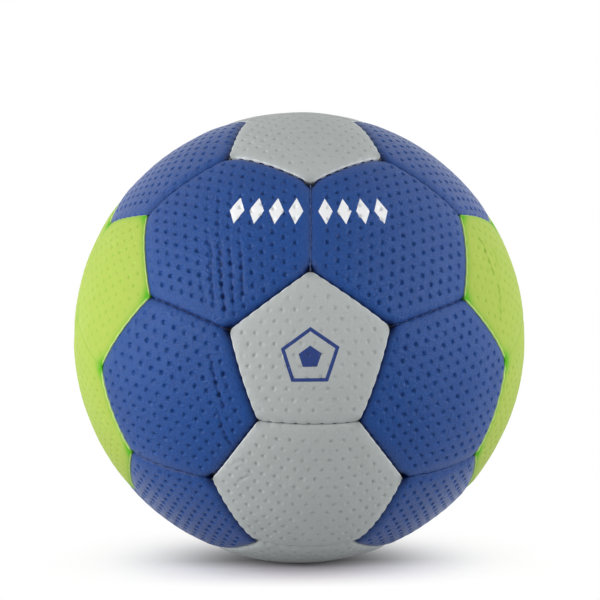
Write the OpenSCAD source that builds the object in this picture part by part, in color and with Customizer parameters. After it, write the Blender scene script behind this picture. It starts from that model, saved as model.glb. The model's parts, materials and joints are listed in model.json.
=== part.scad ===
// Hand-stitched handball: 32 cover panels round a bladder, with its valve at the back.
// Millimetres, origin at the ball's centre, +Z up, the front pentagon faces -Y and +X is to its right.

/* [Ball] */
// Diameter over the covers
ball_d = 175; // [146:1:192]

/* [Panels] */
// Thickness of a cover panel
cover_t = 2.2; // [2:0.1:3]
// Thickness of the hem that a panel turns in at its edge
hem_t = 1.2; // [0.9:0.1:1.6]
// How far a hem reaches in below the cover
hem_depth = 2.3; // [2.2:0.1:3]
// Gap between the hems of two neighbours
seam_gap = 0.4; // [0.2:0.1:0.8]
// Width of the rounded shoulder beside a seam
shoulder_w = 4.4; // [3.4:0.1:5]
// Depth to which a shoulder rounds down at the seam
shoulder_drop = 1.3; // [0.8:0.1:1.5]
// Depth of the dimple where three panels meet
corner_drop = 1.8; // [1.4:0.1:1.9]
// Thickness of the textile lining behind a panel
lining_t = 0.8; // [0.4:0.1:0.9]

/* [Stitching] */
// Diameter of the sewing thread
thread_d = 0.8; // [0.5:0.1:0.9]
// Distance from one stitch to the next
stitch_pitch = 4.6; // [4:0.1:6]
// Distance from a seam's end to its last stitch, at least
stitch_margin = 3.2; // [3:0.1:5]
// Play of the thread in its stitch hole
stitch_play = 0.1; // [0.05:0.05:0.15]

/* [Bladder] */
// Gap between the hems and the bladder
bladder_gap = 0.15; // [0.1:0.05:0.3]
// Wall of the bladder
bladder_t = 0.9; // [0.6:0.1:1.5]
// Diameter of the patch that balances the valve
balance_d = 26; // [16:1:34]
// Thickness of the balance patch
balance_t = 1.4; // [0.8:0.1:2.5]

/* [Valve] */
// Diameter of the valve's neck
neck_d = 6.4; // [5.8:0.1:7.5]
// Depth of the neck's end below the cover's outer face
neck_sink = 0.6; // [0.3:0.1:1.2]
// Play of the neck in the layers that it passes through
neck_play = 0.1; // [0.05:0.05:0.3]
// Depth of the core's end below the neck's end
core_sink = 0.4; // [0.2:0.1:1]
// Diameter of the valve's flange inside the bladder
flange_d = 22; // [16:1:28]
// Thickness of the flange
flange_t = 1.2; // [0.8:0.1:2]
// Diameter of the valve's barrel
barrel_d = 9.6; // [9:0.1:12]
// Length of the barrel below the flange
barrel_l = 13; // [11:0.5:18]
// Thickness of the barrel's closed end
barrel_floor = 1.6; // [1:0.1:2.5]
// Thickness of the lip that holds the core's bulb down in the barrel
lip_t = 1; // [0.6:0.1:1.5]
// Diameter of the patch round the neck, on the bladder's outer side
patch_d = 24; // [16:1:30]
// Thickness of the neck's patch
patch_t = 0.8; // [0.4:0.1:1]
// Diameter of the valve core in the neck
core_d = 4.2; // [3.6:0.1:4.6]
// Diameter of the valve core's bulb in the barrel
bulb_d = 6.6; // [5.4:0.1:7]
// Play of the core in its pocket
core_play = 0.05; // [0.02:0.01:0.1]
// Diameter of the needle's guide hole
needle_d = 2.2; // [1.8:0.1:2.6]
// Depth of the needle's guide hole
needle_l = 8; // [5:0.5:10]

/* [Hidden] */
// Bond line between two layers that are glued together
film = 0.1;
// Running gap between the thread and what lies beside it
thread_gap = 0.1;
// Width of the thread's run along a hem, and its thickness there
run_w = 1.15 * thread_d;
run_t = 0.6 * thread_d;
// Overrun of every cut
over = 1;

// Radii of the layers
ball_r = ball_d / 2;
cover_in_r = ball_r - cover_t;
lining_r = cover_in_r - film;
lining_in_r = lining_r - lining_t;
hem_in_r = cover_in_r - hem_depth;
bladder_r = hem_in_r - bladder_gap;
bladder_in_r = bladder_r - bladder_t;
stitch_r = lining_in_r - thread_gap - run_w / 2;

// Shares of a shoulder's width and drop, from the seam outward; the last one lies just outside the ball
shoulder_shares = [[0, 1], [0.16, 0.5], [0.45, 0.17], [1, -0.05]];
// A shoulder stops this share of its width short of the corner, and the corner's dimple is this much wider
stop_share = 0.75;
dimple_share = 1.27;
dimple_w = dimple_share * shoulder_w;
dimple_r = (dimple_w * dimple_w + corner_drop * corner_drop) / (2 * corner_drop);

// The axes through the pentagons are those through an icosahedron's corners
function unit(v) = v / norm(v);
function angle_between(u, v) = acos(unit(u) * unit(v));
ring_angle = atan(2);
function ring_axis(turn) =
  [-sin(ring_angle) * sin(turn), -cos(ring_angle), sin(ring_angle) * cos(turn)];
front_axis = [0, -1, 0];
ring_axes = [for (k = [0:4]) ring_axis(72 * k)];
AXES = concat([front_axis], ring_axes, [-front_axis], [for (a = ring_axes) -a]);
FRONT = 0;
TOP = 1;
LEFT = 2;
LOW_LEFT = 3;
LOW_RIGHT = 4;
RIGHT = 5;
BACK = 6;
BOTTOM = 7;
BACK_RIGHT = 8;
UP_RIGHT = 9;
UP_LEFT = 10;
BACK_LEFT = 11;

// Angles at the ball's centre: from a panel's middle to its corner and to its edge, and half a seam
function seam_end(a, b) = unit(2 * a + b);
near_corner = seam_end(AXES[FRONT], AXES[TOP]);
far_corner = seam_end(AXES[TOP], AXES[FRONT]);
pentagon_corner = angle_between(AXES[FRONT], near_corner);
hexagon_corner = angle_between(AXES[FRONT] + AXES[TOP] + AXES[LEFT], near_corner);
function corner_angle(sides) = sides == 5 ? pentagon_corner : hexagon_corner;
function edge_angle(sides) = atan(tan(corner_angle(sides)) * cos(180 / sides));
seam_half = angle_between(near_corner, far_corner) / 2;
function arc(length) = length / ball_r * 180 / PI;

stitch_step = arc(stitch_pitch);
stitches = floor((2 * seam_half - 2 * arc(stitch_margin)) / stitch_step) + 1;
stitch_span = stitch_step * (stitches - 1);

// Colours
GREY = "darkgray";
GREEN = "yellowgreen";
BLUE = "royalblue";

// Each pentagon: its name, its axis, the axis of a neighbour and its colour
PENTAGONS = [
  ["pentagon_front", FRONT, TOP, GREY],
  ["pentagon_top", TOP, FRONT, GREY],
  ["pentagon_left", LEFT, FRONT, GREEN],
  ["pentagon_right", RIGHT, FRONT, GREEN],
  ["pentagon_lower_left", LOW_LEFT, FRONT, BLUE],
  ["pentagon_lower_right", LOW_RIGHT, FRONT, BLUE],
  ["pentagon_back", BACK, BOTTOM, GREY],
  ["pentagon_bottom", BOTTOM, BACK, GREY],
  ["pentagon_back_left", BACK_LEFT, BACK, GREEN],
  ["pentagon_back_right", BACK_RIGHT, BACK, GREEN],
  ["pentagon_upper_left", UP_LEFT, BACK, BLUE],
  ["pentagon_upper_right", UP_RIGHT, BACK, BLUE]
];

// Each hexagon: its place, the three pentagons round it and its colour
HEXAGONS = [
  ["front_upper_left", [FRONT, TOP, LEFT], BLUE],
  ["front_upper_right", [FRONT, RIGHT, TOP], BLUE],
  ["front_left", [FRONT, LEFT, LOW_LEFT], BLUE],
  ["front_right", [FRONT, LOW_RIGHT, RIGHT], BLUE],
  ["front_lower", [FRONT, LOW_LEFT, LOW_RIGHT], GREY],
  ["upper_left", [TOP, UP_LEFT, LEFT], BLUE],
  ["upper_right", [TOP, RIGHT, UP_RIGHT], BLUE],
  ["crown", [TOP, UP_RIGHT, UP_LEFT], GREY],
  ["side_left", [LEFT, BACK_LEFT, LOW_LEFT], GREEN],
  ["side_right", [RIGHT, LOW_RIGHT, BACK_RIGHT], GREEN],
  ["shoulder_left", [LEFT, UP_LEFT, BACK_LEFT], GREEN],
  ["shoulder_right", [RIGHT, BACK_RIGHT, UP_RIGHT], GREEN],
  ["foot_left", [LOW_LEFT, BACK_LEFT, BOTTOM], BLUE],
  ["foot_right", [LOW_RIGHT, BOTTOM, BACK_RIGHT], BLUE],
  ["base", [BOTTOM, LOW_RIGHT, LOW_LEFT], GREY],
  ["back_lower_left", [BACK, BOTTOM, BACK_LEFT], BLUE],
  ["back_lower_right", [BACK, BACK_RIGHT, BOTTOM], BLUE],
  ["back_left", [BACK, BACK_LEFT, UP_LEFT], BLUE],
  ["back_right", [BACK, UP_RIGHT, BACK_RIGHT], BLUE],
  ["back_upper", [BACK, UP_LEFT, UP_RIGHT], GREY]
];

$fn = 128;
fine = 32;

function middle(corners) = unit(AXES[corners[0]] + AXES[corners[1]] + AXES[corners[2]]);

// Turns what points along +Z to point along z_dir, with +X turned towards x_hint
module aim(z_dir, x_hint) {
  z = unit(z_dir);
  y = unit(cross(z, x_hint));
  x = cross(y, z);
  multmatrix([[x[0], y[0], z[0], 0], [x[1], y[1], z[1], 0], [x[2], y[2], z[2], 0]]) children();
}

// A panel stands in its own frame with its middle on +Z and an edge's middle towards +X
module place_pentagon(p) aim(AXES[p[1]], -AXES[p[2]]) children();
module place_hexagon(h) aim(middle(h[1]), AXES[h[1][0]]) children();

// At edge i of a panel: +X to the middle of the seam, +Y along it and +Z in over the panel
module at_edge(sides, i) rotate([0, edge_angle(sides) - 90, 360 * i / sides]) children();
module at_corner(sides, i) rotate([0, corner_angle(sides), 360 * (i + 0.5) / sides]) children();

// Its poles lie off the panel, so that the panel's faces have no seam of their own
module ball(r) rotate([90, 0, 0]) sphere(r);

// Everything below the height h over a seam's plane
module beyond(h) {
  side = 2 * ball_d;
  translate([-ball_d, -ball_d, h - side]) cube([side, side, side]);
}

module layer(sides, outer_r, inner_r, h) {
  difference() {
    ball(outer_r);
    ball(inner_r);
    for (i = [0:sides - 1]) at_edge(sides, i) beyond(h);
  }
}

module pocket(sides) {
  difference() {
    ball(cover_in_r);
    for (i = [0:sides - 1]) at_edge(sides, i) beyond(seam_gap / 2 + hem_t);
  }
}

function shoulder_point(s) =
  let (h = seam_gap / 2 + s[0] * shoulder_w, r = ball_r - s[1] * shoulder_drop)
  [sqrt(r * r - h * h), h];

module shoulder_cut() {
  reach = seam_half - arc(stop_share * shoulder_w);
  rim = [for (s = shoulder_shares) shoulder_point(s)];
  rotate([0, 0, -reach])
    rotate_extrude(angle = 2 * reach)
      polygon(concat([for (p = rim) p], [
        [ball_r + over, seam_gap / 2 + shoulder_w],
        [ball_r + over, -over],
        [rim[0][0], -over]
      ]));
}

module stitch_row() {
  for (k = [0:stitches - 1])
    rotate([0, 0, stitch_step * k - stitch_span / 2])
      translate([stitch_r, 0, 0]) children();
}

module stitch_holes() {
  hole_d = thread_d + 2 * stitch_play;
  stitch_row()
    translate([0, 0, seam_gap / 2 - over])
      cylinder(d = hole_d, h = hem_t + 2 * over, $fn = fine);
}

module panel(sides) {
  difference() {
    layer(sides, ball_r, hem_in_r, seam_gap / 2);
    pocket(sides);
    for (i = [0:sides - 1]) {
      at_edge(sides, i) shoulder_cut();
      at_edge(sides, i) stitch_holes();
      at_corner(sides, i) translate([0, 0, ball_r + dimple_r - corner_drop]) ball(dimple_r);
    }
  }
}

module lining(sides) layer(sides, lining_r, lining_in_r, seam_gap / 2 + hem_t + film);

// The hole that the valve's neck passes through, along +Z
module neck_hole() cylinder(d = neck_d + 2 * neck_play, h = ball_d);

module pentagon_panel(p) {
  color(p[3]) place_pentagon(p) {
    if (p[1] == BACK) difference() {
      panel(5);
      neck_hole();
    }
    else panel(5);
  }
}

module hexagon_panel(h) color(h[2]) place_hexagon(h) panel(6);

module hexagon_lining(h) color("linen") place_hexagon(h) lining(6);

module linings_pentagon() {
  color("linen") for (p = PENTAGONS) place_pentagon(p) {
    if (p[1] == BACK) difference() {
      lining(5);
      neck_hole();
    }
    else lining(5);
  }
}

// One seam's thread: a stitch through both hems at each hole and a run along each hem's inner face
module seam_thread() {
  hem_face = seam_gap / 2 + hem_t + thread_gap;
  stitch_row() cylinder(d = thread_d, h = 2 * hem_face + run_t, center = true, $fn = fine);
  reach = stitch_span / 2 + arc(thread_d);
  for (side = [0, 1])
    mirror([0, 0, side])
      rotate([0, 0, -reach])
        rotate_extrude(angle = 2 * reach)
          translate([stitch_r - run_w / 2, hem_face])
            square([run_w, run_t]);
}

// A seam between two hexagons lies in the plane of two neighbouring pentagons' axes
module thread_hexagon_seams() {
  color("navy") for (a = [0:10], b = [a + 1:11])
    if (angle_between(AXES[a], AXES[b]) < 1.1 * ring_angle)
      aim(cross(AXES[a], AXES[b]), AXES[a] + AXES[b]) seam_thread();
}

module thread_pentagon_seams() {
  color("navy") for (p = PENTAGONS) place_pentagon(p) for (i = [0:4]) at_edge(5, i) seam_thread();
}

module bladder() {
  color("dimgray") difference() {
    ball(bladder_r);
    ball(bladder_in_r);
    aim(AXES[BACK], [0, 0, 1]) neck_hole();
  }
}

// A round cap of a spherical layer, its middle on +Z
module cap(outer_r, t, d) {
  intersection() {
    difference() {
      ball(outer_r);
      ball(outer_r - t);
    }
    cylinder(d = d, h = ball_d);
  }
}

module balance_patch() {
  color("black") aim(AXES[FRONT], [0, 0, 1]) cap(bladder_in_r - film, balance_t, balance_d);
}

module valve_patch() {
  color("black") aim(AXES[BACK], [0, 0, 1]) difference() {
    cap(bladder_r + film + patch_t, patch_t, patch_d);
    neck_hole();
  }
}

// Heights along the valve's axis
neck_top = ball_r - neck_sink;
flange_top = bladder_in_r - film;
barrel_end = flange_top - flange_t - barrel_l;
bulb_top = flange_top - flange_t - lip_t;
bulb_end = barrel_end + barrel_floor;
core_top = neck_top - core_sink;
core_end = bulb_end + core_play;

module valve_body() {
  color("black") aim(AXES[BACK], [0, 0, 1]) difference() {
    union() {
      cap(flange_top, flange_t, flange_d);
      translate([0, 0, barrel_end]) cylinder(d = barrel_d, h = barrel_l + flange_t / 2);
      translate([0, 0, barrel_end + barrel_l / 2]) cylinder(d = neck_d, h = neck_top - barrel_end - barrel_l / 2);
    }
    translate([0, 0, bulb_end]) cylinder(d = bulb_d, h = bulb_top - bulb_end);
    translate([0, 0, bulb_end]) cylinder(d = core_d, h = ball_d);
  }
}

module valve_core() {
  bulb_l = bulb_top - core_play - core_end;
  color("gray") aim(AXES[BACK], [0, 0, 1]) difference() {
    union() {
      translate([0, 0, core_end]) cylinder(d = bulb_d - 2 * core_play, h = bulb_l);
      translate([0, 0, core_end]) cylinder(d = core_d - 2 * core_play, h = core_top - core_end);
    }
    translate([0, 0, core_top - needle_l]) cylinder(d = needle_d, h = ball_d);
  }
}

for (p = PENTAGONS) pentagon_panel(p);
for (h = HEXAGONS) hexagon_panel(h);
for (h = HEXAGONS) hexagon_lining(h);
linings_pentagon();
thread_hexagon_seams();
thread_pentagon_seams();
bladder();
balance_patch();
valve_body();
valve_core();
valve_patch();
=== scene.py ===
"""A hand-stitched handball with dimpled blue, grey and green panels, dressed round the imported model."""
import json
from itertools import combinations
from math import acos, atan, cos, pi, radians, sin, tan

import bpy
import numpy as np
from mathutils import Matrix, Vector
from mathutils.geometry import delaunay_2d_cdt


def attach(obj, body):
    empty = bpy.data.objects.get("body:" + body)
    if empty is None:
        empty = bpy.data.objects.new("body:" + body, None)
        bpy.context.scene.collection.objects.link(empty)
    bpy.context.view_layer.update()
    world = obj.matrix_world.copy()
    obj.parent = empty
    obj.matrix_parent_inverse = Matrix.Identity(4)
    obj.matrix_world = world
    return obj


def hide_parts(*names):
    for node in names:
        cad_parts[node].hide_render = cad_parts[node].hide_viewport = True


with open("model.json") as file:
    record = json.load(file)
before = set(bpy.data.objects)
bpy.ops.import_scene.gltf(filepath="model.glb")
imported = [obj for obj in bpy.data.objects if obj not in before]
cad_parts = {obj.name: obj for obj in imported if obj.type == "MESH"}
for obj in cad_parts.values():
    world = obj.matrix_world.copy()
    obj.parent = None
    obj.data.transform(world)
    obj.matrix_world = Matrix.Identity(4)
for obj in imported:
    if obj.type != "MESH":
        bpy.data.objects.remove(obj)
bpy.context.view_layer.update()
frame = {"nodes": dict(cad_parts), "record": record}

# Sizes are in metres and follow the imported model: the ball's radius and the layers at a seam
MM = 0.001
BALL_R = -next(m["pos_m"][2] for m in frame["record"]["mounts"] if m["name"] == "rest_point")
COVER_T = 2.2 * MM
HEM_T = 1.2 * MM
SEAM_GAP = 0.4 * MM
STITCH_PITCH = 4.6 * MM
STITCHES = 7
LAST_STITCH = (STITCHES - 1) / 2
STITCH_DEPTH = 3.66 * MM
THREAD_R = 0.36 * MM
NECK_HOLE_R = 3.3 * MM

# The cover near a seam: a shallow shoulder, a pinch and a notch at each stitch, and a pit at each corner
SHOULDER_W = 5.2 * MM
SHOULDER_OF = {"blue": 0.76 * MM, "grey": 0.60 * MM, "green": 0.40 * MM}
PINCH_R = 1.0 * MM
PINCH_REACH = 1.3 * MM
PINCH_DROP = 0.42 * MM
RIM_GAP = 0.05 * MM
RIM_BLEND = 0.4 * MM
NOTCH_GAP = 0.14 * MM
NOTCH_W = 0.8 * PINCH_R
CORNER_PIT_R = 2.1 * MM

# The cover's slow unevenness: its depth, its waves and how it fades in from the rim
DENT_DEPTH = 0.07 * MM
DENT_WAVES = 9
DENT_LENGTHS = (11 * MM, 30 * MM)
DENT_MEAN = 0.1 * MM
DENT_FADE = 4 * MM

# Where two colours meet, the one with the higher value lies over the other by the difference
LIES_OVER = {"green": -0.55 * MM, "blue": 0.0, "grey": 0.45 * MM}
LAID_FURTHER = {
    ("pentagon_top", "hexagon_upper_left"): 1.5 * MM,
    ("pentagon_top", "hexagon_upper_right"): 1.1 * MM,
    ("pentagon_lower_left", "hexagon_base"): 1.3 * MM,
    ("pentagon_lower_right", "hexagon_base"): 0.9 * MM,
}

# A rim that lies under (-1), beside (0) or over (1) its neighbour: its share of the gaps, its fold's width and
# drop in mm, and how strongly its pale line (a painted highlight) and its painted shade show
RIM_OF = {
    ("blue", -1): (0.75, 0.75, 1.10, 0, 0.9),
    ("blue", 0): (0.6, 0.28, 0.40, 0, 0.54),
    ("blue", 1): (0.4, 0.22, 0.34, 0, 0.4),
    ("grey", -1): (1.0, 0.45, 0.60, 0, 0.3),
    ("grey", 0): (0.8, 0.22, 0.42, 0, 0.24),
    ("grey", 1): (0.7, 0.20, 0.26, 1.0, 0.1),
    ("green", -1): (0.4, 0.22, 0.20, 1.0, 0.5),
    ("green", 0): (0.15, 0.20, 0.10, 0, 0.1),
}

# A corner by how its rims lie: its radius and depth in mm, and how strongly the painted shade in it shows
PLAIN_CORNER = (2.2, 0.6, 0.6)
CORNER_OF = {
    ("blue", -1, 0): (7.0, 1.8, 1.0),
    ("blue", 0, 0): (4.0, 1.2, 1.0),
    ("blue", 0, 1): (2.4, 0.4, 0.3),
    ("blue", 1, 1): (2.4, 0.4, 0.3),
    ("green", -1, -1): (0.9, 0.25, 1.0),
    ("green", -1, 0): (0.9, 0.5, 0.8),
    ("green", 0, 0): (0.9, 0.15, 0.2),
}

# The rim's pale line, a painted highlight where two colours meet: its width, and how far from a corner it
# starts
RIM_HIGHLIGHT_OF = {"blue": 0.36 * MM, "grey": 0.36 * MM, "green": 0.42 * MM}
RIM_HIGHLIGHT_START = (0.5 * MM, 3.0 * MM)

# The painted shade: how far it reaches from the rim and from a corner, and its strength in dimples and wrinkles
PAINTED_SHADE_OF = {
    "blue": (1.5 * MM, 2.6 * MM, 0.42, 1.0),
    "grey": (0.4 * MM, 2.6 * MM, 0.25, 0.8),
    "green": (1.4 * MM, 3.8 * MM, 0.3, 0.45),
}
WRINKLE_FULL_SHADE = 0.5 * MM

# The moulded dimples: their pitch, how far they stay from the rim, and each colour's radius and depth
DIMPLE_PITCH = 4.7 * MM
DIMPLE_MARGIN = 2.5 * MM
DIMPLE_FULL = 4.2 * MM
DIMPLE_OF = {"blue": (1.02 * MM, 0.62 * MM), "grey": (1.0 * MM, 0.32 * MM), "green": (1.0 * MM, 0.24 * MM)}

# The dimples' lattice on front panels: two rows' pitch and direction, in mm and degrees, and its origin
LATTICES = {
    "hexagon_front_upper_left": (4.60, 91.0, 4.57, 150.8, -0.04, 2.47),
    "hexagon_front_upper_right": (4.72, 90.1, 4.68, 147.6, -0.50, 3.23),
    "hexagon_front_left": (4.90, 88.2, 4.91, 147.0, 0.16, 4.44),
    "hexagon_front_right": (4.66, 91.0, 4.70, 151.1, -0.64, 1.38),
    "hexagon_front_lower": (4.79, 88.0, 4.83, 148.1, 0.08, 2.67),
    "hexagon_upper_left": (4.80, 91.0, 4.80, 151.0, -1.63, 3.87),
    "hexagon_upper_right": (4.95, 89.0, 4.70, 148.1, -2.23, 3.20),
    "pentagon_lower_left": (4.55, 61.4, 4.38, 120.4, -0.34, 3.63),
    "pentagon_lower_right": (4.56, 61.5, 4.77, 119.8, -0.62, 4.00),
}

# The cover's mesh: rings round a dimple, rows by a wrinkle, the filling and steps in from the rim
DIMPLE_RINGS = (0.4, 0.66, 0.86, 1.08)
DIMPLE_SPOKES = 10
CREASE_STEP = 0.6 * MM
CREASE_ROWS = (-2.6, -1.7, -1.0, -0.45, 0, 0.45, 1.0, 1.7, 2.6)
FILL_STEP = 0.86 * MM
BACK_STEP = 5 * MM
SAMPLES_PER_EDGE = 64
HOLE_SAMPLES = 48
HALVINGS = 34
RIM_STEPS = (0.0, 0.12, 0.28, 0.5, 0.85, 1.35, 2.0)

# How far the mesh's points keep from each other and from the rim, the hole and the prints
CREASE_APART = 0.2 * MM
PIT_TO_CREASE = 0.22 * MM
FILL_TO_CREASE = 0.45 * MM
FILL_TO_DIMPLE = 1.55
FACE_TO_RIM = 0.35 * MM
FACE_TO_HOLE = 0.3 * MM
FACE_TO_PRINT = 0.16 * MM
BACK_TO_RIM = 3.2 * MM

# The hem from the rim inwards: heights over the seam's plane in seam gaps, and depths in mm
HEM_SECTION = ((0.5, 2.6), (0.5, 3.7), (0.85, 4.32), (2.0, 4.5), (3.15, 4.32), (3.5, 3.5), (3.55, 2.55))
BACK_EDGE = 4.3 * SEAM_GAP


def unit(v):
    v = np.asarray(v, float)
    return v / np.linalg.norm(v)


def units(rows):
    return rows / np.linalg.norm(rows, axis=1)[:, None]


def turns(count):
    return 2 * pi * np.arange(count) / count


def on_circle(angles):
    return np.column_stack([np.cos(angles), np.sin(angles)])


def off_middle(points):
    return np.hypot(points[:, 0], points[:, 1])


def smooth(x, low, high):
    t = np.clip((x - low) / (high - low), 0, 1)
    return t * t * (3 - 2 * t)


def bell(x, width):
    return np.exp(-((x / width) ** 2))


def ring_axis(turn):
    """One of the five pentagon axes round the front one, at degrees from the top to the left."""
    ring, turn = atan(2), radians(turn)
    return np.array([-sin(ring) * sin(turn), -cos(ring), sin(ring) * cos(turn)])


FRONT = np.array([0.0, -1.0, 0.0])
TOP, LEFT, LOW_LEFT, LOW_RIGHT, RIGHT = (ring_axis(72 * k) for k in range(5))
BACK, BOTTOM, BACK_RIGHT, UP_RIGHT, UP_LEFT, BACK_LEFT = -FRONT, -TOP, -LEFT, -LOW_LEFT, -LOW_RIGHT, -RIGHT

# Each panel's name, the axes round it (a pentagon has its own and a neighbour's) and colour; one on the left is
# followed by its mirror image
LEFT_TO_RIGHT = ((LEFT, RIGHT), (LOW_LEFT, LOW_RIGHT), (UP_LEFT, UP_RIGHT), (BACK_LEFT, BACK_RIGHT))
PANELS = []
for name, axes, colour in (
    ("pentagon_front", (FRONT, TOP), "grey"),
    ("pentagon_top", (TOP, FRONT), "grey"),
    ("pentagon_left", (LEFT, FRONT), "green"),
    ("pentagon_lower_left", (LOW_LEFT, FRONT), "blue"),
    ("pentagon_back", (BACK, BOTTOM), "grey"),
    ("pentagon_bottom", (BOTTOM, BACK), "grey"),
    ("pentagon_back_left", (BACK_LEFT, BACK), "green"),
    ("pentagon_upper_left", (UP_LEFT, BACK), "blue"),
    ("hexagon_front_upper_left", (FRONT, TOP, LEFT), "blue"),
    ("hexagon_front_left", (FRONT, LEFT, LOW_LEFT), "blue"),
    ("hexagon_front_lower", (FRONT, LOW_LEFT, LOW_RIGHT), "grey"),
    ("hexagon_upper_left", (TOP, UP_LEFT, LEFT), "blue"),
    ("hexagon_crown", (TOP, UP_RIGHT, UP_LEFT), "grey"),
    ("hexagon_side_left", (LEFT, BACK_LEFT, LOW_LEFT), "green"),
    ("hexagon_shoulder_left", (LEFT, UP_LEFT, BACK_LEFT), "green"),
    ("hexagon_foot_left", (LOW_LEFT, BACK_LEFT, BOTTOM), "blue"),
    ("hexagon_base", (BOTTOM, LOW_RIGHT, LOW_LEFT), "grey"),
    ("hexagon_back_lower_left", (BACK, BOTTOM, BACK_LEFT), "blue"),
    ("hexagon_back_left", (BACK, BACK_LEFT, UP_LEFT), "blue"),
    ("hexagon_back_upper", (BACK, UP_LEFT, UP_RIGHT), "grey"),
):
    PANELS.append((name, axes, colour))
    if "left" in name:
        first, *others = (next((right for left, right in LEFT_TO_RIGHT if axis is left), axis) for axis in axes)
        PANELS.append((name.replace("left", "right"), (first, *others[::-1]), colour))

# The corners as sewn, by pentagon: the neighbour each lies towards, and its shift east and north in mm
SEWN = (
    (FRONT, ((TOP, 0.2, -0.2), (LEFT, -0.2, -0.8), (RIGHT, 0.4, 0.2), (LOW_LEFT, -0.8, -0.2),
             (LOW_RIGHT, 0.0, -0.6))),
    (TOP, ((FRONT, 1.2, 2.8), (LEFT, 0.0, 3.6), (RIGHT, 0.8, 2.8), (UP_LEFT, -4.0, 2.0), (UP_RIGHT, 4.0, 2.5))),
    (LEFT, ((FRONT, -0.5, 1.0), (TOP, -3.2, 1.4), (UP_LEFT, 0.0, 2.8), (LOW_LEFT, -3.0, -2.4))),
    (RIGHT, ((FRONT, 0.6, 0.0), (TOP, 2.4, 1.4), (UP_RIGHT, 0.5, 2.4), (LOW_RIGHT, 2.0, -0.4))),
    (LOW_LEFT, ((FRONT, 0.6, 0.9), (LEFT, -2.0, -1.0), (LOW_RIGHT, -1.4, -1.6), (BOTTOM, -1.0, -2.5))),
    (LOW_RIGHT, ((FRONT, -0.4, 0.7), (RIGHT, 3.2, -3.0), (LOW_LEFT, 2.9, -3.0), (BOTTOM, 1.0, -1.5))),
)
SEWN_REACH = 0.36
SEWN_SLACK = 0.004


def aim(z_dir, x_hint):
    """Columns x, y and z: z points along z_dir and x is turned towards x_hint."""
    z = unit(z_dir)
    y = unit(np.cross(z, x_hint))
    return np.column_stack([np.cross(y, z), y, z])


def sides_of(axes):
    return 5 if len(axes) == 2 else 6


def panel_frame(axes):
    if len(axes) == 2:
        return aim(axes[0], -axes[1])
    return aim(sum(axes), axes[0])


def corner_angle(sides):
    near = unit(2 * FRONT + TOP)
    middle = FRONT if sides == 5 else unit(FRONT + TOP + LEFT)
    return acos(middle @ near)


def edge_angle(sides):
    return atan(tan(corner_angle(sides)) * cos(pi / sides))


SEAM_HALF = acos(unit(2 * FRONT + TOP) @ unit(FRONT + 2 * TOP)) / 2
CENTRES = [(name, panel_frame(axes)[:, 2], edge_angle(sides_of(axes)), colour) for name, axes, colour in PANELS]


def panel_beyond(middle, normal):
    """The name and colour of the panel that a seam's normal points to."""
    inside = unit(middle + 0.15 * normal)
    name, _, _, colour = min(CENTRES, key=lambda c: acos(np.clip(inside @ c[1], -1, 1)) - c[2])
    return name, colour


class Sewing:
    """Shifts the cover smoothly, so that each sewn corner lands where it is wanted."""

    def __init__(self, pentagons):
        corners = [(axis, *corner) for axis, near in pentagons for corner in near]
        self.at = np.array([unit(2 * a + b) for a, b, _, _ in corners])
        east = units(np.cross((0.0, 0.0, 1.0), self.at))
        north = np.cross(self.at, east)
        shift = np.array([(e, n) for _, _, e, n in corners]) * MM / BALL_R
        wanted = east * shift[:, :1] + north * shift[:, 1:]
        self.weights = np.linalg.solve(self.kernel(self.at) + SEWN_SLACK * np.eye(len(self.at)), wanted)

    def kernel(self, dirs):
        return bell(np.arccos(np.clip(dirs @ self.at.T, -1, 1)), SEWN_REACH)

    def apply(self, verts):
        length = np.linalg.norm(verts, axis=1)[:, None]
        dirs = verts / length
        return units(dirs + self.kernel(dirs) @ self.weights) * length


SEWING = Sewing(SEWN)


def overlap(name, colour, other_name, other):
    """How far a panel's rim lies over another's; less than 0 where it lies under."""
    further = LAID_FURTHER.get((name, other_name), 0) - LAID_FURTHER.get((other_name, name), 0)
    return further or LIES_OVER[colour] - LIES_OVER[other]


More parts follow.
